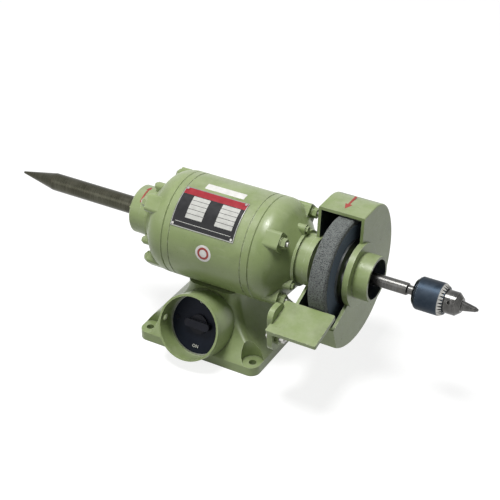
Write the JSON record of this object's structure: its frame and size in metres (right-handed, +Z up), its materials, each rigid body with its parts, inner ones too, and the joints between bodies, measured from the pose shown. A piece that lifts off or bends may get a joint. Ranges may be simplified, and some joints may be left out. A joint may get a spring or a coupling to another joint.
{
  "type": "bench grinder",
  "caption": "Pedestal motor grinder with a tapered polishing spindle at one end, a guarded grinding wheel with tool rest and a keyed drill chuck at the other, and a rotary switch in the base",
  "frame": {"origin": "centre of the four base bolt holes, on the bench surface", "axes": "+X along the shaft towards the drill chuck, +Y away from the switch, +Z up"},
  "size_m": [0.733, 0.2358, 0.247],
  "materials": {
    "green_paint": "satin sage green enamel over cast iron, a little grainy, worn thin on edges",
    "spindle_steel": "turned steel, dull grey brown with fine turning lines",
    "bright_steel": "zinc plated steel, slightly dull",
    "bearing_steel": "ground bearing steel",
    "lamination": "stacked electrical steel sheet",
    "copper_winding": "varnished enamelled copper wire",
    "cage_aluminium": "die cast aluminium, matte",
    "abrasive": "vitrified dark grey abrasive grain, rough",
    "blotter_paper": "blue grey compressible paper",
    "chuck_dark": "blued steel, dark blue grey, smooth",
    "chuck_bright": "ground steel, satin",
    "switch_black": "moulded black plastic, slightly glossy",
    "bezel_metal": "spun aluminium ring",
    "plate_metal": "printed aluminium plate",
    "capacitor_can": "drawn aluminium can",
    "cover_paint": "black painted sheet steel"
  },
  "bodies": {
    "frame": {"base_pedestal": "green_paint", "pad_bolts": "bright_steel", "bottom_cover": "cover_paint", "bottom_cover_screws": "bright_steel", "run_capacitor": "capacitor_can", "capacitor_strap": "bright_steel", "switch_plate": "switch_black", "switch_bezel": "bezel_metal", "switch_body": "switch_black", "switch_screws": "bright_steel", "motor_barrel": "green_paint", "left_end_shield": "green_paint", "right_end_shield": "green_paint", "left_bearing_cap": "green_paint", "bearing_cap_screws": "bright_steel", "left_bearing_cover": "green_paint", "right_bearing_cover": "green_paint", "bearing_cover_screws": "bright_steel", "tie_rods": "bright_steel", "tie_rod_washers": "bright_steel", "tie_rod_nuts": "bright_steel", "rating_plate": "plate_metal", "rating_plate_rivets": "bright_steel", "stator_core": "lamination", "stator_winding": "copper_winding", "left_bearing_outer_race": "bearing_steel", "right_bearing_outer_race": "bearing_steel", "wheel_guard": "green_paint", "guard_screws": "bright_steel", "tool_rest_bolt": "bright_steel", "tool_rest_nut": "bright_steel"},
    "rotor": {"main_shaft": "spindle_steel", "rotor_core": "lamination", "rotor_end_rings": "cage_aluminium", "left_bearing_inner_race": "bearing_steel", "left_bearing_balls": "bearing_steel", "right_bearing_inner_race": "bearing_steel", "right_bearing_balls": "bearing_steel", "inner_flange": "bright_steel", "outer_flange": "bright_steel", "wheel_blotters": "blotter_paper", "grinding_wheel": "abrasive", "wheel_nut": "bright_steel", "chuck_body": "chuck_bright"},
    "chuck_sleeve": {"chuck_sleeve": "chuck_dark", "chuck_nut": "chuck_bright"},
    "chuck_jaw_1": {"chuck_jaw_1": "chuck_bright"},
    "chuck_jaw_2": {"chuck_jaw_2": "chuck_bright"},
    "chuck_jaw_3": {"chuck_jaw_3": "chuck_bright"},
    "switch_knob": {"switch_knob": "switch_black"},
    "tool_rest": {"tool_rest": "green_paint"}
  },
  "joints": [
    {"name": "rotor_spin", "type": "hinge", "parent": "frame", "child": "rotor", "pos_m": [0, 0, 0.165], "axis": [1, 0, 0], "continuous": true},
    {"name": "chuck_sleeve_turn", "type": "hinge", "parent": "rotor", "child": "chuck_sleeve", "pos_m": [0.31, 0, 0.165], "axis": [1, 0, 0], "range_deg": [0, 2880]},
    {"name": "jaw_1_slide", "type": "slide", "parent": "rotor", "child": "chuck_jaw_1", "axis": [-0.9744, 0, 0.225], "range_m": [0, 0.0241]},
    {"name": "jaw_2_slide", "type": "slide", "parent": "rotor", "child": "chuck_jaw_2", "axis": [-0.9744, -0.1948, -0.1125], "range_m": [0, 0.0241]},
    {"name": "jaw_3_slide", "type": "slide", "parent": "rotor", "child": "chuck_jaw_3", "axis": [-0.9744, 0.1948, -0.1125], "range_m": [0, 0.0241]},
    {"name": "switch_turn", "type": "hinge", "parent": "frame", "child": "switch_knob", "pos_m": [0, -0.1005, 0.063], "axis": [0, -0.9272, 0.3746], "range_deg": [0, 90]},
    {"name": "tool_rest_slide", "type": "slide", "parent": "frame", "child": "tool_rest", "axis": [0, 1, 0], "range_m": [-0.006, 0.002]}
  ],
  "couplings": [
    {"joint": "jaw_1_slide", "follows": "chuck_sleeve_turn", "m_per_rad": 0.00047746},
    {"joint": "jaw_2_slide", "follows": "chuck_sleeve_turn", "m_per_rad": 0.00047746},
    {"joint": "jaw_3_slide", "follows": "chuck_sleeve_turn", "m_per_rad": 0.00047746}
  ]
}
